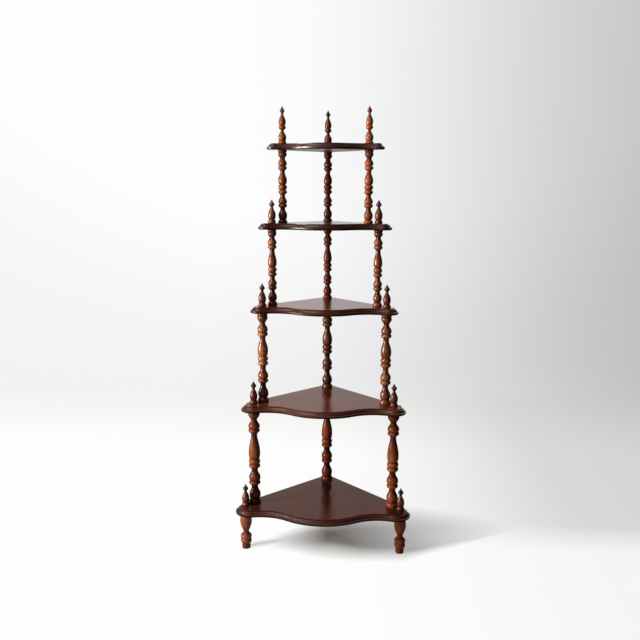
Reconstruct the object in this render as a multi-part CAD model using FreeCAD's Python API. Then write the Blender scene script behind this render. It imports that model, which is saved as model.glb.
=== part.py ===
import FreeCAD, Part
import math
import os

# Five-tier corner etagere in turned and moulded hardwood, millimetres.
# X runs left to right seen from the front, +Y goes into the room corner, Z is up.
# The origin is on the floor, in the middle of the outer box.

V = FreeCAD.Vector

# ---- driving dimensions ---------------------------------------------------------------

# Heights, from the floor up.
FOOT_HEIGHT = 133.5
SHELF_THICKNESS = 20.5
SPINDLE_HEIGHTS = (335.5, 309.5, 255.0, 239.5)
SHORT_FINIAL_HEIGHT = 77.5
TALL_FINIAL_HEIGHT = 118.0

# Column axes, shelf by shelf: how far out from the middle, and how far in front of
# the rear column. The foot, or the spindle from below, stands on the axis of its shelf.
COLUMN_OUT = (265.0, 237.0, 208.0, 177.0, 143.0)
COLUMN_FORWARD = (255.0, 226.0, 198.0, 166.0, 144.0)
REAR_COLUMN_TO_CORNER = 44.0
CORNER_ANGLE = 90.0

# Shelf plans, shelf by shelf, as lists of five. The front is a bow between two
# hollows, and each side ends in a round nose that the straight back edge cuts.
FRONT_FORWARD = (363.0, 323.5, 273.0, 232.0, 208.0)
BOW_RADIUS = (215.0, 185.0, 165.0, 150.0, 130.0)
HOLLOW_RADIUS = (150.0, 130.0, 115.0, 105.0, 91.0)
NOSE_OUT = (248.5, 239.0, 216.0, 196.5, 171.0)
NOSE_FORWARD = (263.0, 242.0, 206.0, 174.0, 150.0)
NOSE_RADIUS = (49.0, 38.0, 31.0, 25.5, 23.0)

# Moulded front edge: a quirk under the top, an ogee, then a lip rounded underneath.
EDGE_INSET = 14.0
QUIRK_DEPTH = 2.2
QUIRK_WIDTH = 1.6
LIP_HEIGHT = 8.5
LIP_ROUND = 4.5
CUTTER_MARGIN = 3.0

# Turned radii, tier by tier from the bottom.
SPINDLE_RADIUS = (19.6, 17.9, 14.9, 14.7)
LOW_NECK_RADIUS = (11.0, 9.4, 8.2, 8.1)
LONG_NECK_RADIUS = (10.2, 9.4, 8.1, 7.8)
CUP_NECK_RADIUS = (10.3, 9.2, 8.5, 8.4)
BASE_BULGE = 0.7
RING_GROOVE = (4.6, 5.0, 5.1, 5.0)
DEEP_GROOVE = (5.2, 5.5, 5.8, 5.4)
COLLAR_GROOVE = (2.8, 3.2, 3.3, 3.3)

# Heights of the turned elements of a spindle, upwards, tier by tier. Only the long
# vase, between the band and the high cove, takes what is left of the height.
ELEMENT_HEIGHTS = {
    "base": (16.5, 16.5, 14.5, 12.0),
    "low_belly": (14.5, 13.5, 13.5, 14.5),
    "low_taper": (29.0, 28.0, 20.5, 20.5),
    "low_cove": (7.5, 9.5, 4.5, 4.0),
    "ring": (14.0, 14.2, 13.5, 13.6),
    "mid_belly": (12.5, 10.0, 7.0, 5.5),
    "mid_taper": (23.5, 23.6, 19.0, 19.5),
    "mid_cove": (10.5, 12.7, 6.0, 5.8),
    "band": (18.5, 18.4, 18.0, 18.3),
    "long_belly": (20.0, 19.8, 13.4, 12.2),
    "high_cove": (10.4, 10.6, 9.0, 8.8),
    "bulb_belly": (8.0, 8.2, 7.5, 7.6),
    "bulb_taper": (23.0, 22.8, 17.0, 16.8),
    "cup": (19.5, 19.3, 13.0, 13.3),
    "cup_rim": (6.0, 6.1, 5.5, 5.4),
    "collar": (10.5, 10.4, 8.0, 8.9),
}
ABOVE_LONG_VASE = ("high_cove", "ring", "bulb_belly", "bulb_taper", "cup", "cup_rim", "collar")

# Foot, from the floor up.
PEG_RADIUS = 14.2
PEG_HEIGHT = 17.5
FOOT_BEAD_RADIUS = 18.9
FOOT_BEAD_HEIGHT = 18.0
FOOT_BEAD_GROOVE = 3.6
FOOT_SHOULDER_SWELL = 9.2
FOOT_SHOULDER_HEIGHT = 14.8
FOOT_NECK_RADIUS = 9.6
FOOT_TAPER_HEIGHT = 38.5
FOOT_BELLY_RADIUS = 20.0
FOOT_BELLY_CLOSE = 19.0
FOOT_GROOVE_RADIUS = 16.0

# Short finial, from the shelf up.
FINIAL_BASE_RADIUS = 11.8
FINIAL_BEAD_RADIUS = 13.0
FINIAL_BEAD_HEIGHT = 13.0
FINIAL_GROOVE_RADIUS = 8.9
FINIAL_BELLY_RADIUS = 12.8
FINIAL_BELLY_HEIGHT = 13.8
FINIAL_TAPER_HEIGHT = 26.2
FINIAL_NECK_RADIUS = 4.6
FINIAL_KNOB_RADIUS = 9.5
FINIAL_KNOB_UNDERSIDE = 8.6
FINIAL_TIP_RADIUS = 1.4

# Tall finial, from the shelf up. It carries the short finial's shape on a lower vase.
TALL_BASE_RADIUS = 12.2
TALL_BEAD_HEIGHT = 8.5
TALL_GROOVE_RADIUS = 9.7
TALL_BELLY_RADIUS = 13.3
TALL_BELLY_HEIGHT = 11.5
TALL_TAPER_HEIGHT = 20.5
TALL_NECK_RADIUS = 5.3
TALL_COVE_HEIGHT = 4.2
TALL_RING_RADIUS = 11.9
TALL_RING_HEIGHT = 13.9
TALL_UPPER_GROOVE_RADIUS = 8.3
TALL_UPPER_BELLY_RADIUS = 11.8
TALL_UPPER_BELLY_HEIGHT = 9.5
TALL_UPPER_TAPER_HEIGHT = 26.5
TALL_UPPER_NECK_RADIUS = 4.0
TALL_KNOB_RADIUS = 8.0
TALL_KNOB_UNDERSIDE = 9.5

# Hidden hardware.
STUD_RADIUS = 3.0
STUD_REACH_UP = 24.0
STUD_REACH_DOWN = 22.0
STUD_CHAMFER = 0.8
SCREW_SHANK_RADIUS = 2.1
SCREW_HEAD_RADIUS = 4.2
SCREW_HEAD_DEPTH = 2.6
SCREW_LENGTH = 38.0
SCREW_POINT = 4.0
BORE_CLEARANCE = 0.15
BORE_END_CLEARANCE = 1.0

# How full the turned curves are: 0 is slack, 1 is square.
SWELL_FULLNESS = 0.60
TAPER_FULLNESS = 0.46
NECK_FULLNESS = 0.42
SLACK_NECK_FULLNESS = 0.24
COVE_FULLNESS = 0.62
KNOB_FULLNESS = 0.55
KNOB_SHOULDER = 0.22
TIP_SPREAD = 0.20
OGEE_FULLNESS = 0.50
ROUND_FULLNESS = 0.55

# ---- derived levels and places --------------------------------------------------------

TIERS = range(len(SPINDLE_HEIGHTS))
SHELVES = range(len(SPINDLE_HEIGHTS) + 1)
SIDES = {"left": -1, "right": 1}
HALF_CORNER = math.radians(CORNER_ANGLE / 2)


def shelf_bottom(n):
    return FOOT_HEIGHT + n * SHELF_THICKNESS + sum(SPINDLE_HEIGHTS[:n])


def shelf_top(n):
    return shelf_bottom(n) + SHELF_THICKNESS


# The outer box runs from the front of the lowest shelf to the room corner.
MIDDLE_TO_REAR_COLUMN = (FRONT_FORWARD[0] - REAR_COLUMN_TO_CORNER) / 2
REAR_COLUMN = V(0, MIDDLE_TO_REAR_COLUMN, 0)


def column(n, side):
    """Axis of the front column that carries shelf n, on one side."""
    return REAR_COLUMN + V(side * COLUMN_OUT[n], -COLUMN_FORWARD[n], 0)


# ---- turned work ----------------------------------------------------------------------


class Turning:
    """Half outline of a turned piece, drawn upwards from the middle of its foot."""

    def __init__(self, foot_radius):
        self.r = 0.0
        self.z = 0.0
        self.edges = []
        self.line(foot_radius, 0.0)

    def _add(self, curve, r, z):
        self.edges.append(curve.toShape())
        self.r = r
        self.z = z

    def _bezier(self, poles):
        curve = Part.BezierCurve()
        curve.setPoles([V(r, 0, z) for r, z in poles])
        self._add(curve, *poles[-1])

    def line(self, r, rise):
        z = self.z + rise
        self._add(Part.LineSegment(V(self.r, 0, self.z), V(r, 0, z)), r, z)

    def bead(self, outer, r, rise):
        """Rounded ring that reaches the outer radius halfway up."""
        z = self.z + rise
        middle = V(outer, 0, self.z + rise / 2)
        self._add(Part.Arc(V(self.r, 0, self.z), middle, V(r, 0, z)), r, z)

    def swell(self, r, rise):
        """Quarter oval that starts level and ends upright."""
        z = self.z + rise
        reach = self.r + SWELL_FULLNESS * (r - self.r)
        start = (self.r, self.z)
        self._bezier([start, (reach, self.z), (r, z - SWELL_FULLNESS * rise), (r, z)])

    def close(self, r, rise):
        """Quarter oval that starts upright and ends level."""
        z = self.z + rise
        reach = r + SWELL_FULLNESS * (self.r - r)
        start = (self.r, self.z)
        self._bezier([start, (self.r, self.z + SWELL_FULLNESS * rise), (reach, z), (r, z)])

    def taper(self, r, rise, neck=NECK_FULLNESS):
        """S-curve that is upright at both ends, with its own fullness at the thin end."""
        z = self.z + rise
        if r > self.r:
            leave, arrive = neck, TAPER_FULLNESS
        else:
            leave, arrive = TAPER_FULLNESS, neck
        start = (self.r, self.z)
        self._bezier([start, (self.r, self.z + leave * rise), (r, z - arrive * rise), (r, z)])

    def cove(self, r, rise):
        """Hollow that starts upright and runs out level, under a ring."""
        z = self.z + rise
        reach = self.r + (1 - COVE_FULLNESS) * (r - self.r)
        start = (self.r, self.z)
        self._bezier([start, (self.r, self.z + COVE_FULLNESS * rise), (reach, z), (r, z)])

    def point(self, r, rise):
        """Hollow-sided cone that ends in a small blunt tip."""
        z = self.z + rise
        start = (self.r, self.z)
        shoulder = (self.r, self.z + KNOB_SHOULDER * rise)
        waist = (r + TIP_SPREAD * (self.r - r), self.z + KNOB_FULLNESS * rise)
        self._bezier([start, shoulder, waist, (r, z)])

    def solid(self, at, level):
        self.line(0.0, 0.0)
        axis = Part.LineSegment(V(0, 0, self.z), V(0, 0, 0)).toShape()
        face = Part.Face(Part.Wire(self.edges + [axis]))
        body = face.revolve(V(0, 0, 0), V(0, 0, 1), 360)
        body.translate(V(at.x, at.y, level))
        return body


def spindle(tier, at):
    """Baluster of one tier: three ringed vases, a long vase, a bulb and a cup."""
    full = SPINDLE_RADIUS[tier]
    groove = full - RING_GROOVE[tier]
    quirk = full - DEEP_GROOVE[tier]
    rim = full - COLLAR_GROOVE[tier]
    rise = {name: heights[tier] for name, heights in ELEMENT_HEIGHTS.items()}
    t = Turning(full)
    t.bead(full + BASE_BULGE, quirk, rise["base"])
    t.swell(full, rise["low_belly"])
    t.taper(LOW_NECK_RADIUS[tier], rise["low_taper"])
    t.cove(groove, rise["low_cove"])
    t.bead(full, groove, rise["ring"])
    t.swell(full, rise["mid_belly"])
    t.taper(LOW_NECK_RADIUS[tier], rise["mid_taper"])
    t.cove(groove, rise["mid_cove"])
    t.bead(full, groove, rise["ring"])
    t.bead(full, quirk, rise["band"])
    t.swell(full, rise["long_belly"])
    neck_level = SPINDLE_HEIGHTS[tier] - sum(rise[name] for name in ABOVE_LONG_VASE)
    t.taper(LONG_NECK_RADIUS[tier], neck_level - t.z, SLACK_NECK_FULLNESS)
    t.cove(groove, rise["high_cove"])
    t.bead(full, groove, rise["ring"])
    t.swell(full, rise["bulb_belly"])
    t.taper(CUP_NECK_RADIUS[tier], rise["bulb_taper"])
    t.taper(full, rise["cup"], SLACK_NECK_FULLNESS)
    t.close(rim, rise["cup_rim"])
    t.bead(full, rim, rise["collar"])
    return t.solid(at, shelf_top(tier))


def foot(at):
    """Turned foot: a peg, a bead, a rounded shoulder, a neck and an upturned vase."""
    groove = FOOT_BEAD_RADIUS - FOOT_BEAD_GROOVE
    t = Turning(PEG_RADIUS)
    t.line(PEG_RADIUS, PEG_HEIGHT)
    t.bead(FOOT_BEAD_RADIUS, groove, FOOT_BEAD_HEIGHT)
    t.swell(FOOT_BEAD_RADIUS, FOOT_SHOULDER_SWELL)
    t.taper(FOOT_NECK_RADIUS, FOOT_SHOULDER_HEIGHT)
    t.taper(FOOT_BELLY_RADIUS, FOOT_TAPER_HEIGHT, SLACK_NECK_FULLNESS)
    t.close(FOOT_GROOVE_RADIUS, FOOT_BELLY_CLOSE)
    t.bead(FOOT_BEAD_RADIUS, groove, FOOT_HEIGHT - t.z)
    return t.solid(at, 0.0)


def short_finial(n, at):
    """Finial over a shelf end: a bead, a vase and a pointed knob."""
    t = Turning(FINIAL_BASE_RADIUS)
    t.bead(FINIAL_BEAD_RADIUS, FINIAL_GROOVE_RADIUS, FINIAL_BEAD_HEIGHT)
    t.swell(FINIAL_BELLY_RADIUS, FINIAL_BELLY_HEIGHT)
    t.taper(FINIAL_NECK_RADIUS, FINIAL_TAPER_HEIGHT, SLACK_NECK_FULLNESS)
    t.taper(FINIAL_KNOB_RADIUS, FINIAL_KNOB_UNDERSIDE)
    t.point(FINIAL_TIP_RADIUS, SHORT_FINIAL_HEIGHT - t.z)
    return t.solid(at, shelf_top(n))


def tall_finial(at):
    """Finial on the top shelf: a lower vase with a ring, and an upper vase and knob."""
    t = Turning(TALL_BASE_RADIUS)
    t.bead(TALL_BELLY_RADIUS, TALL_GROOVE_RADIUS, TALL_BEAD_HEIGHT)
    t.swell(TALL_BELLY_RADIUS, TALL_BELLY_HEIGHT)
    t.taper(TALL_NECK_RADIUS, TALL_TAPER_HEIGHT, SLACK_NECK_FULLNESS)
    t.cove(TALL_UPPER_GROOVE_RADIUS, TALL_COVE_HEIGHT)
    t.bead(TALL_RING_RADIUS, TALL_UPPER_GROOVE_RADIUS, TALL_RING_HEIGHT)
    t.swell(TALL_UPPER_BELLY_RADIUS, TALL_UPPER_BELLY_HEIGHT)
    t.taper(TALL_UPPER_NECK_RADIUS, TALL_UPPER_TAPER_HEIGHT, SLACK_NECK_FULLNESS)
    t.taper(TALL_KNOB_RADIUS, TALL_KNOB_UNDERSIDE)
    t.point(FINIAL_TIP_RADIUS, TALL_FINIAL_HEIGHT - t.z)
    return t.solid(at, shelf_top(SHELVES[-1]))


# ---- shelves --------------------------------------------------------------------------


def meet(a, radius_a, b, radius_b):
    """Front meeting point of two circles given by centre and radius."""
    line = b - a
    reach = line.Length
    along = (radius_a**2 - radius_b**2 + reach**2) / (2 * reach)
    aside = math.sqrt(radius_a**2 - along**2)
    line.normalize()
    return a + line * along + V(line.y, -line.x, 0) * aside


def mirrored(p):
    return V(-p.x, p.y, p.z)


def between(centre, radius, start, end):
    """Arc from start to end about a centre, on the side that faces their middle."""
    middle = (start + end) * 0.5 - centre
    middle.normalize()
    return Part.Arc(start, centre + middle * radius, end)


class ShelfPlan:
    """Outline of one shelf, in the plane of its underside."""

    def __init__(self, n):
        level = V(0, 0, shelf_bottom(n))
        rear = REAR_COLUMN + level
        self.corner = rear + V(0, REAR_COLUMN_TO_CORNER, 0)
        self.nose = rear + V(NOSE_OUT[n], -NOSE_FORWARD[n], 0)
        self.nose_radius = NOSE_RADIUS[n]
        bow = rear + V(0, BOW_RADIUS[n] - FRONT_FORWARD[n], 0)
        hollow = meet(
            bow, BOW_RADIUS[n] + HOLLOW_RADIUS[n], self.nose, self.nose_radius + HOLLOW_RADIUS[n]
        )
        joint_a = bow + (hollow - bow).normalize() * BOW_RADIUS[n]
        joint_b = self.nose + (hollow - self.nose).normalize() * self.nose_radius
        back = V(math.sin(HALF_CORNER), -math.cos(HALF_CORNER), 0)
        out = V(-back.y, back.x, 0)
        gap = (self.corner - self.nose).dot(out)
        chord = math.sqrt(self.nose_radius**2 - gap**2)
        self.end = self.nose + out * gap + back * chord
        run_out = self.nose + out * self.nose_radius
        front = V(bow.x, bow.y - BOW_RADIUS[n], bow.z)
        self.bow = Part.Arc(mirrored(joint_a), front, joint_a)
        self.hollows = [
            between(mirrored(hollow), HOLLOW_RADIUS[n], mirrored(joint_b), mirrored(joint_a)),
            between(hollow, HOLLOW_RADIUS[n], joint_a, joint_b),
        ]
        self.noses = self._noses(joint_b, self.end)
        self.cutter_noses = self._noses(joint_b, run_out)

    def _noses(self, start, end):
        """Left and right nose arcs, from the hollow round to the given end."""
        turn = V(1, 0, 0) * self.nose_radius
        tip = self.nose + turn
        side = V((start.x + tip.x) / 2, (start.y + tip.y) / 2, start.z) - self.nose
        side.normalize()
        lower = self.nose + side * self.nose_radius
        return [
            Part.Arc(mirrored(end), mirrored(lower), mirrored(start)),
            Part.Arc(start, lower, end),
        ]

    def front_edges(self, noses):
        curves = [noses[0], self.hollows[0], self.bow, self.hollows[1], noses[1]]
        return [curve.toShape() for curve in curves]

    def blank(self):
        right_back = Part.LineSegment(self.end, self.corner).toShape()
        left_back = Part.LineSegment(self.corner, mirrored(self.end)).toShape()
        wire = Part.Wire(self.front_edges(self.noses) + [right_back, left_back])
        return Part.Face(wire).extrude(V(0, 0, SHELF_THICKNESS))

    def upper_waste(self):
        """Wood cut away above the lip, by a quirk and an ogee."""
        under = SHELF_THICKNESS - QUIRK_DEPTH
        above = SHELF_THICKNESS + CUTTER_MARGIN
        step = EDGE_INSET - QUIRK_WIDTH
        ease = OGEE_FULLNESS * step
        poles = [(step, under), (step - ease, under), (ease, LIP_HEIGHT), (0, LIP_HEIGHT)]
        corners = [
            (0, LIP_HEIGHT), (-CUTTER_MARGIN, LIP_HEIGHT), (-CUTTER_MARGIN, above),
            (EDGE_INSET, above), (EDGE_INSET, under), (step, under),
        ]
        return self._run_along_front(poles, corners)

    def lower_waste(self):
        """Wood cut away under the lip, to round it."""
        ease = LIP_ROUND * (1 - ROUND_FULLNESS)
        poles = [(LIP_ROUND, 0), (ease, 0), (0, ease), (0, LIP_ROUND)]
        corners = [
            (0, LIP_ROUND), (-CUTTER_MARGIN, LIP_ROUND), (-CUTTER_MARGIN, -CUTTER_MARGIN),
            (LIP_ROUND, -CUTTER_MARGIN), (LIP_ROUND, 0),
        ]
        return self._run_along_front(poles, corners)

    def _run_along_front(self, poles, corners):
        """Sweep of a section, given as insets and heights, along the whole front edge."""
        path = Part.Wire(self.front_edges(self.cutter_noses))
        start = path.OrderedVertexes[0].Point
        outward = (start - mirrored(self.nose)).normalize()

        def at(point):
            inset, height = point
            return start - outward * inset + V(0, 0, height)

        moulding = Part.BezierCurve()
        moulding.setPoles([at(p) for p in poles])
        lines = [Part.LineSegment(at(a), at(b)).toShape() for a, b in zip(corners, corners[1:])]
        sweep = Part.BRepOffsetAPI.MakePipeShell(path)
        sweep.setBiNormalMode(V(0, 0, 1))
        sweep.add(Part.Wire([moulding.toShape()] + lines))
        sweep.build()
        sweep.makeSolid()
        return sweep.shape()


def shelf(n):
    plan = ShelfPlan(n)
    board = plan.blank().cut(plan.upper_waste()).cut(plan.lower_waste())
    for at in stud_places(n):
        board = board.cut(bore(at, shelf_bottom(n), shelf_top(n), STUD_RADIUS))
    for at in screw_places(n):
        board = board.cut(screw_bore(n, at))
    return board


# ---- hardware and its bores -----------------------------------------------------------


def stud_places(n):
    """Where a stud passes through shelf n: both front columns and the rear one."""
    return [column(n, side) for side in SIDES.values()] + [REAR_COLUMN]


def screw_places(n):
    """Where the front spindles of the tier above stand on shelf n."""
    if n not in TIERS:
        return []
    return [column(n + 1, side) for side in SIDES.values()]


def bore(at, low, high, radius):
    base = V(at.x, at.y, low)
    return Part.makeCylinder(radius + BORE_CLEARANCE, high - low, base)


def stud(n, at):
    low = shelf_bottom(n) - STUD_REACH_DOWN
    high = shelf_top(n) + STUD_REACH_UP
    rod = Part.makeCylinder(STUD_RADIUS, high - low, V(at.x, at.y, low))
    rims = [edge for edge in rod.Edges if edge.Curve.TypeId == "Part::GeomCircle"]
    return rod.makeChamfer(STUD_CHAMFER, rims)


def screw(n, at):
    """Countersunk wood screw, driven up from under shelf n."""
    low = V(at.x, at.y, shelf_bottom(n))
    head = Part.makeCone(SCREW_HEAD_RADIUS, SCREW_SHANK_RADIUS, SCREW_HEAD_DEPTH, low)
    shank_base = low + V(0, 0, SCREW_HEAD_DEPTH)
    shank_length = SCREW_LENGTH - SCREW_HEAD_DEPTH - SCREW_POINT
    shank = Part.makeCylinder(SCREW_SHANK_RADIUS, shank_length, shank_base)
    tip_base = shank_base + V(0, 0, shank_length)
    tip = Part.makeCone(SCREW_SHANK_RADIUS, 0, SCREW_POINT, tip_base)
    return head.fuse([shank, tip]).removeSplitter()


def screw_bore(n, at):
    low = V(at.x, at.y, shelf_bottom(n))
    mouth = SCREW_HEAD_RADIUS + BORE_CLEARANCE
    throat = SCREW_SHANK_RADIUS + BORE_CLEARANCE
    sink = Part.makeCone(mouth, throat, SCREW_HEAD_DEPTH, low)
    return sink.fuse(bore(at, shelf_bottom(n), shelf_top(n), SCREW_SHANK_RADIUS))


def bored_below(body, n, at):
    """The piece under shelf n, bored from its top for the stud."""
    deep = shelf_bottom(n) - STUD_REACH_DOWN - BORE_END_CLEARANCE
    return body.cut(bore(at, deep, shelf_bottom(n), STUD_RADIUS))


def bored_above(body, n, at):
    """The piece over shelf n, bored from its foot for the stud."""
    high = shelf_top(n) + STUD_REACH_UP + BORE_END_CLEARANCE
    return body.cut(bore(at, shelf_top(n), high, STUD_RADIUS))


def screwed_above(body, n, at):
    """The spindle over shelf n, bored from its foot for the wood screw."""
    high = shelf_bottom(n) + SCREW_LENGTH + BORE_END_CLEARANCE
    return body.cut(bore(at, shelf_top(n), high, SCREW_SHANK_RADIUS))


# ---- assembly -------------------------------------------------------------------------


def parts():
    """Name and shape of every node."""
    top = SHELVES[-1]
    for n in SHELVES:
        yield f"shelf_{n + 1}", shelf(n)
        yield f"finial_studs_{n + 1}", Part.makeCompound([stud(n, at) for at in stud_places(n)])
    for n in TIERS:
        screws = [screw(n, at) for at in screw_places(n)]
        yield f"spindle_screws_{n + 1}", Part.makeCompound(screws)
    for name, side in SIDES.items():
        yield f"foot_{name}", bored_below(foot(column(0, side)), 0, column(0, side))
        for n in TIERS:
            body = spindle(n, column(n + 1, side))
            body = screwed_above(body, n, column(n + 1, side))
            yield f"spindle_{n + 1}_{name}", bored_below(body, n + 1, column(n + 1, side))
            finial = short_finial(n, column(n, side))
            yield f"finial_{n + 1}_{name}", bored_above(finial, n, column(n, side))
        yield f"top_finial_{name}", bored_above(tall_finial(column(top, side)), top, column(top, side))
    yield "foot_rear", bored_below(foot(REAR_COLUMN), 0, REAR_COLUMN)
    for n in TIERS:
        body = bored_above(spindle(n, REAR_COLUMN), n, REAR_COLUMN)
        yield f"spindle_{n + 1}_rear", bored_below(body, n + 1, REAR_COLUMN)
    yield "top_finial_rear", bored_above(tall_finial(REAR_COLUMN), top, REAR_COLUMN)


os.makedirs("parts", exist_ok=True)
for node, shape in parts():
    shape.exportStep(os.path.join("parts", f"{node}.step"))
    print(node, "valid" if shape.isValid() else "INVALID", len(shape.Solids), round(shape.Volume))
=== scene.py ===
import math

import bpy
from mathutils import Euler, Matrix, Vector


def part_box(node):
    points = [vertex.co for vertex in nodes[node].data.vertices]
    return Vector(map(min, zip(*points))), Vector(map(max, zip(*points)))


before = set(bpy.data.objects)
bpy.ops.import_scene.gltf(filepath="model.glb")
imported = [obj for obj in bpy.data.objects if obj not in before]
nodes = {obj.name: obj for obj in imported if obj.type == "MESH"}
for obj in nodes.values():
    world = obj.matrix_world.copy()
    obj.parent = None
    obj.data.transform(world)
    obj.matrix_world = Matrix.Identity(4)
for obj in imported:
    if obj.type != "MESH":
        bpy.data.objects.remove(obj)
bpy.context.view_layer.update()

mm = 0.001


# helpers

def linear(hexColour, shade=1):
    channels = [int(hexColour[i:i + 2], 16) / 255 for i in (1, 3, 5)]
    return [shade * (c / 12.92 if c <= 0.04045 else ((c + 0.055) / 1.055) ** 2.4) for c in channels] + [1]


# a setting goes to the socket of that name or number, or else to the node itself
def addNode(tree, kind, settings, links):
    node = tree.nodes.new(kind)
    for name, value in settings.items():
        if isinstance(name, int) or name in node.inputs:
            node.inputs[name].default_value = value
        else:
            setattr(node, name, value)
    for name, source in links.items():
        tree.links.new(source, node.inputs[name])
    return node


def newMaterial(name):
    material = bpy.data.materials.new(name)
    material.use_nodes = True
    material.node_tree.nodes.clear()
    return material, material.node_tree


def setStops(ramp, stops, shade=1):
    elements = ramp.color_ramp.elements
    while len(elements) < len(stops):
        elements.new(0.5)
    for element, (place, hexColour) in zip(elements, stops):
        element.position = place
        element.color = linear(hexColour, shade)


def paint(node, material):
    node.data.materials.clear()
    node.data.materials.append(material)


# grain of both woods: streaks along it, clouds of stain that also vary the polish, and open pores

grain = {
    "streakRoughness": 0.6,
    "cloudDetail": 2,
    "cloudRange": (0.3, 0.7),
    "polishRange": (0.85, 1.2),  # parts of the wood's roughness over that range
    "poreDetail": 1,
    "poreStrength": 0.25,
}


# pattern scale of something this wide and this long, with its length along one axis
def stretched(size, axis):
    width, length = size
    return [1 / (length if n == axis else width) for n in "xyz"]


def addGrain(tree, place, wood):
    streakScale = stretched(wood["streakSize"], wood["grainAxis"])
    streakPlace = addNode(tree, "ShaderNodeMapping", {"Scale": streakScale}, {"Vector": place})
    streaks = addNode(tree, "ShaderNodeTexNoise",
                      {"Scale": 1, "Detail": wood["streakDetail"], "Roughness": grain["streakRoughness"],
                       "Distortion": wood["streakDistortion"]},
                      {"Vector": streakPlace.outputs[0]})
    clouds = addNode(tree, "ShaderNodeTexNoise",
                     {"Scale": 1 / wood["cloudSize"], "Detail": grain["cloudDetail"]}, {"Vector": place})
    level = addNode(tree, "ShaderNodeMix", {"Factor": wood["cloudShare"]},
                    {"A": streaks.outputs["Fac"], "B": clouds.outputs["Fac"]})
    (fewest, most), (smoother, rougher) = grain["cloudRange"], grain["polishRange"]
    polish = addNode(tree, "ShaderNodeMapRange",
                     {"From Min": fewest, "From Max": most, "To Min": wood["roughness"] * smoother,
                      "To Max": wood["roughness"] * rougher},
                     {"Value": clouds.outputs["Fac"]})
    poreScale = stretched(wood["poreSize"], wood["grainAxis"])
    porePlace = addNode(tree, "ShaderNodeMapping", {"Scale": poreScale}, {"Vector": place})
    pores = addNode(tree, "ShaderNodeTexNoise", {"Scale": 1, "Detail": grain["poreDetail"]},
                    {"Vector": porePlace.outputs[0]})
    bump = addNode(tree, "ShaderNodeBump", {"Strength": grain["poreStrength"], "Distance": wood["poreDepth"]},
                   {"Height": pores.outputs["Fac"]})
    return level.outputs[0], polish.outputs[0], bump.outputs[0]


# beech, turned, stained walnut and lacquered: fine streaks up the axis, stain and painted shade in the
# grooves, painted light on the bellies, painted shade at both ends, and a soft gloss

turnedWood = {
    "grainAxis": "z",
    "streakSize": (3.2 * mm, 95 * mm),
    "streakDetail": 4,
    "streakDistortion": 0.3,
    "cloudSize": 60 * mm,
    "cloudShare": 0.4,
    "poreSize": (1.1 * mm, 12 * mm),
    "poreDepth": 0.012 * mm,
    "roughness": 0.28,
    "ior": 1.45,
    "coat": 0.06,
    "coatRoughness": 0.15,
    # levels of stain and streaks at which the three tones stand
    "tonesAt": (0.18, 0.48, 0.70),
    # stain and painted shade in the grooves, wear and painted light on the bellies, and where each starts, in
    # parts of the full radius
    "grooveStainAndShade": 0.17,
    "grooveRadius": 0.60,
    "bellyRubAndLight": 0.08,
    "bellyRadius": 0.96,
    # painted shade at the upper end, where the board above shades it, and the parts of the height that it and
    # the lower end's painted shade take
    "paintedUpperShade": 0.30,
    "upperReach": 0.13,
    "lowerReach": 0.45,
}
# for each kind of piece: dark, middle and light tone of the stain, gloss, and painted shade at the lower end,
# deepest where a finial's shadow is painted on the left pieces; the longest name that fits a piece counts
turnedTonesAndShade = {
    "foot": ("#421e0f", "#783e23", "#985838", 0.33, 0.03),
    "foot_right": ("#3a190b", "#6e361d", "#8c4c2d", 0.08, 0.03),
    "spindle_1": ("#3c160c", "#7e3d20", "#a45e34", 0.21, 0.02),
    "spindle_1_left": ("#331309", "#76391c", "#9c572d", 0.34, 0.26),
    # the rear pieces' darker tones are painted shade from the shelves above them
    "spindle_1_rear": ("#36110a", "#743518", "#96522b", 0.22, 0.16),
    "spindle_2": ("#34100a", "#7c3c1f", "#a96834", 0.75, 0.06),
    "spindle_2_left": ("#3a1508", "#8e4d26", "#c28244", 0.90, 0.28),
    "spindle_2_rear": ("#260a04", "#5c2b14", "#784422", 0.70, 0.10),
    "spindle_3": ("#34100a", "#823e1c", "#b2652f", 0.85, 0.06),
    "spindle_3_left": ("#361008", "#7e3d1c", "#b0652f", 0.78, 0.30),
    "spindle_3_rear": ("#2c0b04", "#682c14", "#864420", 0.38, 0.10),
    "spindle_4": ("#40130a", "#90441c", "#be6b30", 0.48, 0.02),
    "spindle_4_left": ("#340f06", "#763b1b", "#a05e2e", 0.58, 0.30),
    "spindle_4_rear": ("#260803", "#602513", "#76391b", 0.48, 0.08),
    "finial": ("#2c0f09", "#602c18", "#824526", 0.65, 0.10),
    "finial_4_left": ("#35120a", "#75371b", "#a2592e", 0.85, 0.10),
    "top_finial": ("#401608", "#90491f", "#c27436", 0.48, 0.10),
    "top_finial_rear": ("#2c0e08", "#6a321c", "#844629", 0.42, 0.10),
    "top_finial_right": ("#521e09", "#ae5e28", "#d6883e", 0.46, 0.08),
}


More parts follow.
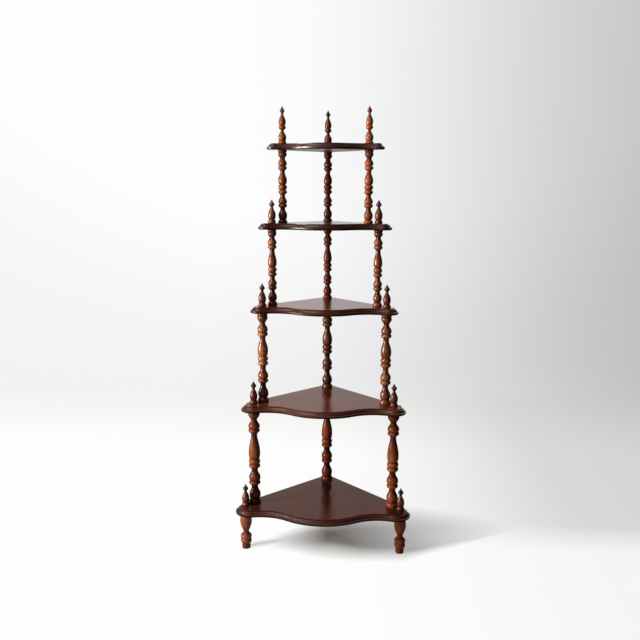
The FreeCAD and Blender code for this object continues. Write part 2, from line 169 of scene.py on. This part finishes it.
def turnedMaterial(name, dark, middle, light, gloss, paintedLowerShade):
    low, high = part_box(name)
    centre = (low + high) / 2
    radius = (high.x - low.x) / 2
    tall = high.z - low.z
    material, tree = newMaterial("walnutStainedBeech_" + name)
    place = addNode(tree, "ShaderNodeTexCoord", {}, {}).outputs["Object"]
    level, polish, bump = addGrain(tree, place, turnedWood)
    # distance from the turning axis: small in the necks and grooves, the full radius on the bellies
    offAxis = addNode(tree, "ShaderNodeMapping", {"Location": (-centre.x, -centre.y, 0), "Scale": (1, 1, 0)},
                      {"Vector": place})
    reach = addNode(tree, "ShaderNodeVectorMath", {"operation": "LENGTH"}, {0: offAxis.outputs[0]})
    fullness = addNode(tree, "ShaderNodeMapRange",
                       {"From Min": radius * turnedWood["grooveRadius"], "To Min": -turnedWood["grooveStainAndShade"],
                        "From Max": radius * turnedWood["bellyRadius"], "To Max": turnedWood["bellyRubAndLight"]},
                       {"Value": reach.outputs["Value"]})
    height = addNode(tree, "ShaderNodeSeparateXYZ", {}, {"Vector": place}).outputs["Z"]
    # painted shade low down, deepest on the left pieces where a finial's shadow falls
    lowerEnd = addNode(tree, "ShaderNodeMapRange",
                       {"From Min": low.z, "From Max": low.z + turnedWood["lowerReach"] * tall,
                        "To Min": -paintedLowerShade, "To Max": 0}, {"Value": height})
    # painted shade at the upper end, the shadow of the board above
    upperEnd = addNode(tree, "ShaderNodeMapRange",
                       {"From Min": high.z - turnedWood["upperReach"] * tall, "From Max": high.z,
                        "To Min": 0, "To Max": -turnedWood["paintedUpperShade"]}, {"Value": height})
    ends = addNode(tree, "ShaderNodeMath", {"operation": "ADD"},
                   {0: lowerEnd.outputs[0], 1: upperEnd.outputs[0]})
    stainAndShade = addNode(tree, "ShaderNodeMath", {"operation": "ADD"},
                    {0: fullness.outputs[0], 1: ends.outputs[0]})
    stainedAndShaded = addNode(tree, "ShaderNodeMath", {"operation": "ADD"}, {0: level, 1: stainAndShade.outputs[0]})
    colour = addNode(tree, "ShaderNodeValToRGB", {}, {"Fac": stainedAndShaded.outputs[0]})
    setStops(colour, list(zip(turnedWood["tonesAt"], (dark, middle, light))))
    shader = addNode(tree, "ShaderNodeBsdfPrincipled",
                     {"IOR": turnedWood["ior"], "Specular IOR Level": gloss,
                      "Coat Weight": turnedWood["coat"], "Coat Roughness": turnedWood["coatRoughness"]},
                     {"Base Color": colour.outputs[0], "Roughness": polish, "Normal": bump})
    addNode(tree, "ShaderNodeOutputMaterial", {}, {"Surface": shader.outputs[0]})
    return material


def dressTurnings():
    for name, node in nodes.items():
        kinds = [kind for kind in turnedTonesAndShade if name.startswith(kind)]
        if kinds and "screws" not in name and "studs" not in name:
            paint(node, turnedMaterial(name, *turnedTonesAndShade[max(kinds, key=len)]))
    print("turned pieces dressed")


# mahogany boards, stained dark under a toned lacquer: long streaks from side to side, a moulded edge with
# painted highlights on the arrises, painted shade in the quirk and, nearly black, where the lip turns under,
# and a raw dull underside

boardWood = {
    "grainAxis": "x",
    "streakSize": (7 * mm, 210 * mm),
    "streakDetail": 5,
    "streakDistortion": 0.5,
    "cloudSize": 120 * mm,
    "cloudShare": 0.5,
    "poreSize": (1.2 * mm, 16 * mm),
    "poreDepth": 0.012 * mm,
    "roughness": 0.2,
    "ior": 1.45,
    "glaze": "#35180a",
    "edgeRoughness": 0.36,
    "edgeGrain": 0.25,
    # upwards over the thickness: lip, arris, ogee, quirk, arris, with painted shade under the lip and in the
    # quirk and painted highlights on the arrises
    "edgeTonesAndPaintedLight": [(0.12, "#0b0302"), (0.31, "#2a110a"), (0.425, "#643a2a"), (0.50, "#371710"),
                  (0.81, "#4e2417"), (0.89, "#1d0b08"), (0.97, "#6c3e2e")],
    "rawTone": "#947666",
    "rawRoughness": 0.4,
    "rawGloss": 0.5,
    "seam": 0.3 * mm,  # over which the top and the underside pass into the edge
}
darkTop = [(0.30, "#2c110a"), (0.50, "#421c11"), (0.70, "#582a1b")]
warmTop = [(0.30, "#46190a"), (0.50, "#632810"), (0.70, "#7e3918")]
# gloss of the top, more worn on the lower boards, lightness of the edge, which paints each board's light and
# shade, gloss of the edge, and tones of the top
boardState = {
    "shelf_1": {"gloss": 0.10, "edge": 1.0, "edgeGloss": 0.42, "top": darkTop},
    "shelf_2": {"gloss": 0.16, "edge": 1.25, "edgeGloss": 0.42, "top": warmTop},
    "shelf_3": {"gloss": 0.32, "edge": 0.8, "edgeGloss": 0.42, "top": warmTop},
    "shelf_4": {"gloss": 0.9, "edge": 0.75, "edgeGloss": 0.6, "top": darkTop},
    "shelf_5": {"gloss": 0.40, "edge": 1.5, "edgeGloss": 1.2, "top": darkTop},
}


def boardMaterial(name):
    low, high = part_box(name)
    state = boardState[name]
    material, tree = newMaterial("stainedMahoganyBoard_" + name)
    place = addNode(tree, "ShaderNodeTexCoord", {}, {}).outputs["Object"]
    level, polish, bump = addGrain(tree, place, boardWood)
    height = addNode(tree, "ShaderNodeSeparateXYZ", {}, {"Vector": place}).outputs["Z"]
    onTop = addNode(tree, "ShaderNodeMapRange",
                    {"From Min": high.z - boardWood["seam"], "From Max": high.z},
                    {"Value": height}).outputs[0]
    underneath = addNode(tree, "ShaderNodeMapRange",
                         {"From Min": low.z, "From Max": low.z + boardWood["seam"], "To Min": 1, "To Max": 0},
                         {"Value": height}).outputs[0]
    top = addNode(tree, "ShaderNodeValToRGB", {}, {"Fac": level})
    setStops(top, state["top"])
    # the edge's tones paint its shade and highlights up the moulding
    rise = addNode(tree, "ShaderNodeMapRange", {"From Min": low.z, "From Max": high.z}, {"Value": height})
    edge = addNode(tree, "ShaderNodeValToRGB", {}, {"Fac": rise.outputs[0]})
    setStops(edge, boardWood["edgeTonesAndPaintedLight"], state["edge"])
    # the grain carries on over the moulding, more faintly
    grainedEdge = addNode(tree, "ShaderNodeMix", {"data_type": "RGBA", "Factor": boardWood["edgeGrain"]},
                          {6: edge.outputs[0], 7: top.outputs[0]})
    stainedAndShaded = addNode(tree, "ShaderNodeMix", {"data_type": "RGBA"},
                      {"Factor": onTop, 6: grainedEdge.outputs[2], 7: top.outputs[0]})
    colour = addNode(tree, "ShaderNodeMix", {"data_type": "RGBA", 7: linear(boardWood["rawTone"])},
                     {"Factor": underneath, 6: stainedAndShaded.outputs[2]})
    lacquered = addNode(tree, "ShaderNodeMix", {"A": boardWood["edgeRoughness"]},
                        {"Factor": onTop, "B": polish})
    roughness = addNode(tree, "ShaderNodeMix", {"B": boardWood["rawRoughness"]},
                        {"Factor": underneath, "A": lacquered.outputs[0]})
    lacquer = addNode(tree, "ShaderNodeMix", {"A": state["edgeGloss"], "B": state["gloss"]},
                      {"Factor": onTop})
    gloss = addNode(tree, "ShaderNodeMix", {"B": boardWood["rawGloss"]},
                    {"Factor": underneath, "A": lacquer.outputs[0]})
    wood = addNode(tree, "ShaderNodeBsdfPrincipled", {"IOR": boardWood["ior"]},
                   {"Base Color": colour.outputs[2], "Roughness": roughness.outputs[0],
                    "Specular IOR Level": gloss.outputs[0], "Normal": bump})
    # the toned lacquer gives its shine a brown cast on the flat top
    glaze = addNode(tree, "ShaderNodeMix",
                    {"data_type": "RGBA", 6: linear("#000000"), 7: linear(boardWood["glaze"])},
                    {"Factor": onTop})
    brownShine = addNode(tree, "ShaderNodeBsdfGlossy", {},
                         {"Color": glaze.outputs[2], "Roughness": polish, "Normal": bump})
    both = addNode(tree, "ShaderNodeAddShader", {}, {0: wood.outputs[0], 1: brownShine.outputs[0]})
    addNode(tree, "ShaderNodeOutputMaterial", {}, {"Surface": both.outputs[0]})
    return material


def dressBoards():
    for name in boardState:
        paint(nodes[name], boardMaterial(name))
    print("shelves dressed")


# zinc-plated steel, drawn and then threaded: a fine crystalline grey with rings round the rod

zinc = {
    "ringPitch": 1.0 * mm,
    "ringDepth": 0.3 * mm,
    "ringStrength": 0.6,
    "waveLength": 0.314,  # metres from ring to ring in a wave texture of scale 1
    "spotSize": 4 * mm,
    "spotDetail": 3,
    "roughness": 0.34,
    "tones": [(0.3, "#9b9da0"), (0.7, "#c3c4c6")],
}


def zincMaterial():
    material, tree = newMaterial("zincPlatedSteel")
    place = addNode(tree, "ShaderNodeTexCoord", {}, {}).outputs["Object"]
    rings = addNode(tree, "ShaderNodeTexWave",
                    {"bands_direction": "Z", "Scale": zinc["waveLength"] / zinc["ringPitch"]},
                    {"Vector": place})
    spots = addNode(tree, "ShaderNodeTexNoise", {"Scale": 1 / zinc["spotSize"], "Detail": zinc["spotDetail"]},
                    {"Vector": place})
    colour = addNode(tree, "ShaderNodeValToRGB", {}, {"Fac": spots.outputs["Fac"]})
    setStops(colour, zinc["tones"])
    bump = addNode(tree, "ShaderNodeBump", {"Strength": zinc["ringStrength"], "Distance": zinc["ringDepth"]},
                   {"Height": rings.outputs["Fac"]})
    shader = addNode(tree, "ShaderNodeBsdfPrincipled", {"Metallic": 1, "Roughness": zinc["roughness"]},
                     {"Base Color": colour.outputs[0], "Normal": bump.outputs[0]})
    addNode(tree, "ShaderNodeOutputMaterial", {}, {"Surface": shader.outputs[0]})
    return material


def dressHardware():
    plated = zincMaterial()
    for name, node in nodes.items():
        if "studs" in name or "screws" in name:
            paint(node, plated)
    print("hardware dressed")


# studio: a bowl of pale matte paper, open above. The lit paper takes the shadow, and away from that shadow
# a white takes over, which only camera, glossy and transmission rays see; its share is shaped round the
# shadow, which is thus partly painted

bowl = {
    "radius": 3.5,
    "height": 3.6,
    "sides": 128,
    "corner": 1.0,
    "cornerSteps": 16,
    "cornerProfile": 0.5,  # a quarter circle
    "tolerance": 0.01,
}
# matte paper: no gloss and no grain that shows at this distance
paper = {
    # as it throws light back round the feet and away from them, and between which distances it changes
    "nearColour": "#f8f7f6",
    "farColour": "#3c3c3e",
    "farFrom": (0.75, 1.15),
    # the camera sees the paper darker than it throws light back, which deepens the shadow: painted shade
    "seenColour": "#bcbbba",  # as the camera sees it in the shadow
}
white = {
    # tones from left to right over the wall and the floor, between these two places, greyer to the right as
    # painted shade
    "acrossFrom": (-1.6, 2.4),
    "acrossWall": [(0.15, "#fefefe"), (0.33, "#fafafa"), (0.40, "#f6f6f7"), (0.55, "#eaeaec"),
                   (0.76, "#d5d5d7"), (1.0, "#bebec1")],
    "acrossFloor": [(0.30, "#fefefe"), (0.42, "#fcfcfb"), (0.50, "#f2f2f1"), (0.57, "#e5e5e4"),
                    (0.63, "#d9d9d8"), (0.80, "#d2d2d1")],
    # tones backwards over the floor and on up the wall, with a greyer band as painted shade where floor meets
    # wall, and where the wall's take over from the floor's
    "backFrom": (0, 6),
    "back": [(0.15, "#ffffff"), (0.21, "#fafaf9"), (0.25, "#f7f7f5"), (0.29, "#f4f4f2"), (0.42, "#f4f4f4"),
             (0.56, "#f7f7f8"), (0.65, "#fbfbfb"), (0.75, "#ffffff")],
    "wallFrom": (0.8, 2.2),
    # the front of the floor is nearly white right across: where it starts, its share, how far out it holds
    "frontTone": "#fefefd",
    "frontFrom": (0.15, -0.05),
    "frontShare": 0.75,
    "frontUntil": (1.6, 3),
    # how much of it the gloss sees beside and before the piece, and from where on all of it
    "glossShare": 0.07,
    "glossFrom": (1.6, 3.1),
}
# the shadow on the floor, cast by the lamps and partly painted by this share: how far the white stays away
# from its middle to each side
shade = {
    "share": 0.04,  # of the white in the middle
    "right": ("X", 0.03, 0.71),
    "left": ("X", 0.01, -0.23),
    "front": ("Y", -0.035, -0.175),
    "back": ("Y", 0.04, 0.32),
    # ends that shift: of which side, near or far end, to where, and on which axis between which places
    "shifts": [("right", "From Min", 0.09, "Y", 0.03, -0.02), ("front", "From Min", -0.06, "X", 0.03, 0.13),
               ("front", "From Max", -0.14, "X", 0.06, -0.10)],
    # slanting lines past which it is back at once: direction over the floor, from where to where along it
    "litFrom": [((-0.75, 0.66, 0), 0.03, 0.135), ((0.53, -0.85, 0), 0.20, 0.285)],
}
# the left foot's own streak of shadow, partly painted by holding back the white: direction across it, its
# place that way, half its width, its middle in x, how far from there it ends, and the share of the white that
# is left in it
footShade = {
    "across": (-0.40, 0.92, 0),
    "at": 0.028,
    "half": 0.03,
    "middle": -0.18,
    "endsFrom": (0.06, 0.10),
    "share": 0.55,
}


# what the camera and the gloss see of the white: its tone and its strength
def addWhite(tree, axes, outwards, path):
    start, end = white["acrossFrom"]
    across = addNode(tree, "ShaderNodeMapRange", {"From Min": start, "From Max": end}, {"Value": axes["X"]})
    wallTone = addNode(tree, "ShaderNodeValToRGB", {}, {"Fac": across.outputs[0]})
    setStops(wallTone, white["acrossWall"])
    floorTone = addNode(tree, "ShaderNodeValToRGB", {}, {"Fac": across.outputs[0]})
    setStops(floorTone, white["acrossFloor"])
    backwards = addNode(tree, "ShaderNodeMath", {"operation": "ADD"}, {0: axes["Y"], 1: axes["Z"]}).outputs[0]
    start, end = white["backFrom"]
    back = addNode(tree, "ShaderNodeMapRange", {"From Min": start, "From Max": end}, {"Value": backwards})
    backTone = addNode(tree, "ShaderNodeValToRGB", {}, {"Fac": back.outputs[0]})
    setStops(backTone, white["back"])
    start, end = white["wallFrom"]
    onWall = addNode(tree, "ShaderNodeMapRange", {"From Min": start, "From Max": end}, {"Value": backwards})
    acrossTone = addNode(tree, "ShaderNodeMix", {"data_type": "RGBA"},
                         {"Factor": onWall.outputs[0], 6: floorTone.outputs[0], 7: wallTone.outputs[0]})
    toned = addNode(tree, "ShaderNodeMix", {"data_type": "RGBA", "blend_type": "MULTIPLY", "Factor": 1},
                    {6: acrossTone.outputs[2], 7: backTone.outputs[0]})
    start, end = white["frontUntil"]
    frontShare = addNode(tree, "ShaderNodeMapRange", {"From Min": start, "From Max": end,
                                                      "To Min": white["frontShare"], "To Max": 0},
                         {"Value": outwards})
    start, end = white["frontFrom"]
    inFront = addNode(tree, "ShaderNodeMapRange", {"From Min": start, "From Max": end},
                      {"Value": axes["Y"], "To Max": frontShare.outputs[0]})
    tone = addNode(tree, "ShaderNodeMix", {"data_type": "RGBA", 7: linear(white["frontTone"])},
                   {"Factor": inFront.outputs[0], 6: toned.outputs[2]})
    start, end = white["glossFrom"]
    forGloss = addNode(tree, "ShaderNodeMapRange",
                       {"From Min": start, "From Max": end, "To Min": white["glossShare"],
                        "interpolation_type": "SMOOTHSTEP"}, {"Value": axes["Y"]})
    strength = addNode(tree, "ShaderNodeMix", {"A": 1},
                       {"Factor": path["Is Glossy Ray"], "B": forGloss.outputs[0]})
    return addNode(tree, "ShaderNodeEmission", {},
                   {"Color": tone.outputs[2], "Strength": strength.outputs[0]})


# the share of the white over the floor, which paints part of the shadow's shape: it grows with the distance
# from the middle of the shadow
def addWhiteShare(tree, place, axes):
    sides = {}
    for side in ("right", "left", "front", "back"):
        axis, start, end = shade[side]
        sides[side] = addNode(tree, "ShaderNodeMapRange", {"From Min": start, "From Max": end},
                              {"Value": axes[axis]})
    for side, end, shifted, axis, fromHere, toHere in shade["shifts"]:
        unshifted = sides[side].inputs[end]
        shift = addNode(tree, "ShaderNodeMapRange",
                        {"From Min": fromHere, "From Max": toHere, "To Min": unshifted.default_value,
                         "To Max": shifted}, {"Value": axes[axis]})
        tree.links.new(shift.outputs[0], unshifted)
    sideways = addNode(tree, "ShaderNodeMath", {"operation": "MAXIMUM"},
                       {0: sides["right"].outputs[0], 1: sides["left"].outputs[0]})
    lengthways = addNode(tree, "ShaderNodeMath", {"operation": "MAXIMUM"},
                         {0: sides["front"].outputs[0], 1: sides["back"].outputs[0]})
    offMiddle = addNode(tree, "ShaderNodeCombineXYZ", {},
                        {"X": sideways.outputs[0], "Y": lengthways.outputs[0]})
    distance = addNode(tree, "ShaderNodeVectorMath", {"operation": "LENGTH"}, {0: offMiddle.outputs[0]})
    share = addNode(tree, "ShaderNodeMapRange", {"To Min": shade["share"]},
                    {"Value": distance.outputs["Value"]})
    for direction, start, end in shade["litFrom"]:
        along = addNode(tree, "ShaderNodeVectorMath", {"operation": "DOT_PRODUCT", 1: direction}, {0: place})
        lit = addNode(tree, "ShaderNodeMapRange", {"From Min": start, "From Max": end},
                      {"Value": along.outputs["Value"]})
        share = addNode(tree, "ShaderNodeMath", {"operation": "MAXIMUM"},
                        {0: share.outputs[0], 1: lit.outputs[0]})
    across = addNode(tree, "ShaderNodeVectorMath", {"operation": "DOT_PRODUCT", 1: footShade["across"]},
                     {0: place})
    offStreak = addNode(tree, "ShaderNodeMath", {"operation": "SUBTRACT", 1: footShade["at"]},
                        {0: across.outputs["Value"]})
    besideIt = addNode(tree, "ShaderNodeMath", {"operation": "ABSOLUTE"}, {0: offStreak.outputs[0]})
    streak = addNode(tree, "ShaderNodeMapRange", {"From Min": 0, "From Max": footShade["half"],
                                                  "To Min": footShade["share"], "To Max": 1},
                     {"Value": besideIt.outputs[0]})
    fromMiddle = addNode(tree, "ShaderNodeMath", {"operation": "SUBTRACT", 1: footShade["middle"]},
                         {0: axes["X"]})
    alongIt = addNode(tree, "ShaderNodeMath", {"operation": "ABSOLUTE"}, {0: fromMiddle.outputs[0]})
    start, end = footShade["endsFrom"]
    pastIt = addNode(tree, "ShaderNodeMapRange", {"From Min": start, "From Max": end},
                     {"Value": alongIt.outputs[0]})
    streak = addNode(tree, "ShaderNodeMath", {"operation": "MAXIMUM"},
                     {0: streak.outputs[0], 1: pastIt.outputs[0]})
    return addNode(tree, "ShaderNodeMath", {"operation": "MINIMUM"},
                   {0: share.outputs[0], 1: streak.outputs[0]})


def bowlMaterial():
    material, tree = newMaterial("matteStudioPaper")
    path = addNode(tree, "ShaderNodeLightPath", {}, {}).outputs
    place = addNode(tree, "ShaderNodeTexCoord", {}, {}).outputs["Object"]
    axes = addNode(tree, "ShaderNodeSeparateXYZ", {}, {"Vector": place}).outputs
    flat = addNode(tree, "ShaderNodeMapping", {"Scale": (1, 1, 0)}, {"Vector": place})
    radial = addNode(tree, "ShaderNodeVectorMath", {"operation": "LENGTH"}, {0: flat.outputs[0]})
    outwards = addNode(tree, "ShaderNodeMath", {"operation": "ADD"},
                       {0: radial.outputs["Value"], 1: axes["Z"]}).outputs[0]
    start, end = paper["farFrom"]
    far = addNode(tree, "ShaderNodeMapRange", {"From Min": start, "From Max": end}, {"Value": outwards})
    litColour = addNode(tree, "ShaderNodeMix", {"data_type": "RGBA", 6: linear(paper["nearColour"]),
                                                7: linear(paper["farColour"])}, {"Factor": far.outputs[0]})
    colour = addNode(tree, "ShaderNodeMix", {"data_type": "RGBA", 7: linear(paper["seenColour"])},
                     {"Factor": path["Is Camera Ray"], 6: litColour.outputs[2]})
    matte = addNode(tree, "ShaderNodeBsdfDiffuse", {}, {"Color": colour.outputs[2]})
    glow = addWhite(tree, axes, outwards, path)
    whiteShare = addWhiteShare(tree, place, axes)
    seen = addNode(tree, "ShaderNodeMath", {"operation": "MAXIMUM"},
                   {0: path["Is Camera Ray"], 1: path["Is Glossy Ray"]})
    seen = addNode(tree, "ShaderNodeMath", {"operation": "MAXIMUM"},
                   {0: seen.outputs[0], 1: path["Is Transmission Ray"]})
    share = addNode(tree, "ShaderNodeMath", {"operation": "MULTIPLY"},
                    {0: seen.outputs[0], 1: whiteShare.outputs[0]})
    mixed = addNode(tree, "ShaderNodeMixShader", {},
                    {"Fac": share.outputs[0], 1: matte.outputs[0], 2: glow.outputs[0]})
    addNode(tree, "ShaderNodeOutputMaterial", {}, {"Surface": mixed.outputs[0]})
    return material


def buildBowl():
    bpy.ops.object.select_all(action="DESELECT")
    bpy.ops.mesh.primitive_cylinder_add(vertices=bowl["sides"], radius=bowl["radius"], depth=bowl["height"],
                                        location=(0, 0, bowl["height"] / 2))
    shell = bpy.context.object
    shell.name = "studio_bowl"
    bpy.ops.object.transform_apply(location=True, rotation=False, scale=False)
    bpy.ops.object.mode_set(mode="EDIT")
    bpy.ops.mesh.select_mode(type="FACE")
    bpy.ops.mesh.select_all(action="DESELECT")
    bpy.ops.object.mode_set(mode="OBJECT")
    for face in shell.data.polygons:  # the lid comes off
        face.select = face.center.z > bowl["height"] - bowl["tolerance"]
    bpy.ops.object.mode_set(mode="EDIT")
    bpy.ops.mesh.delete(type="FACE")
    bpy.ops.mesh.select_mode(type="EDGE")
    bpy.ops.mesh.select_all(action="DESELECT")
    bpy.ops.object.mode_set(mode="OBJECT")
    for edge in shell.data.edges:  # and the floor's edge is rounded
        edge.select = all(shell.data.vertices[v].co.z < bowl["tolerance"] for v in edge.vertices)
    bpy.ops.object.mode_set(mode="EDIT")
    bpy.ops.mesh.bevel(offset=bowl["corner"], segments=bowl["cornerSteps"],
                       profile=bowl["cornerProfile"])
    bpy.ops.mesh.select_all(action="SELECT")
    bpy.ops.mesh.normals_make_consistent(inside=True)
    bpy.ops.object.mode_set(mode="OBJECT")
    bpy.ops.object.shade_smooth()
    paint(shell, bowlMaterial())
    print("studio bowl built")


# a tall window at the left, a soft light above it and a weaker one behind, in a dim room

room = {"colour": "#2a2b2e", "strength": 1}
lamps = {
    "window": {"at": (-2.70, -1.26, 1.08), "aim": (0, 0, 0.9), "size": (0.95, 1.5), "power": 118,
               "colour": "#fffaf4"},
    "top": {"at": (-1.3, -1.0, 2.9), "aim": (0, 0, 0.7), "size": (1.3, 1.3), "power": 30,
            "colour": "#ffffff"},
    "back": {"at": (1.4, 2.3, 2.9), "aim": (0, 0, 0.7), "size": (1.2, 1.2), "power": 14,
             "colour": "#ffffff"},
}


def addLamp(name, lamp):
    light = bpy.data.lights.new(name, "AREA")
    light.shape = "RECTANGLE"
    light.size, light.size_y = lamp["size"]
    light.energy = lamp["power"]
    light.color = linear(lamp["colour"])[:3]
    holder = bpy.data.objects.new(name, light)
    holder.location = lamp["at"]
    aim = Vector(lamp["aim"]) - Vector(lamp["at"])
    holder.rotation_euler = aim.to_track_quat("-Z", "Y").to_euler()
    bpy.context.scene.collection.objects.link(holder)


def lightStudio():
    world = bpy.data.worlds.new("dimRoom")
    world.use_nodes = True
    world.node_tree.nodes.clear()
    air = addNode(world.node_tree, "ShaderNodeBackground",
                  {"Color": linear(room["colour"]), "Strength": room["strength"]}, {})
    addNode(world.node_tree, "ShaderNodeOutputWorld", {}, {"Surface": air.outputs[0]})
    bpy.context.scene.world = world
    for name, lamp in lamps.items():
        addLamp(name, lamp)
    print("studio lit")


# camera at standing height, a little right of the middle, angles in degrees

view = {
    "at": (0.1445, -2.4887, 1.2343),
    "tiltDown": 10.12,
    "turnLeft": 3.70,
    "roll": 0.12,
    "lens": 41.9,
    "sensor": 36,
}


def addCamera():
    camera = bpy.data.cameras.new("camera")
    camera.lens = view["lens"]
    camera.sensor_width = view["sensor"]
    holder = bpy.data.objects.new("camera", camera)
    holder.location = view["at"]
    turn = Euler((math.radians(90 - view["tiltDown"]), 0, math.radians(view["turnLeft"]))).to_matrix()
    turn = turn @ Matrix.Rotation(math.radians(view["roll"]), 3, "Z")
    holder.rotation_euler = turn.to_euler()
    bpy.context.scene.collection.objects.link(holder)
    bpy.context.scene.camera = holder
    print("camera set")


dressTurnings()
dressBoards()
dressHardware()
buildBowl()
lightStudio()
addCamera()

bpy.context.scene.view_settings.view_transform = "Standard"
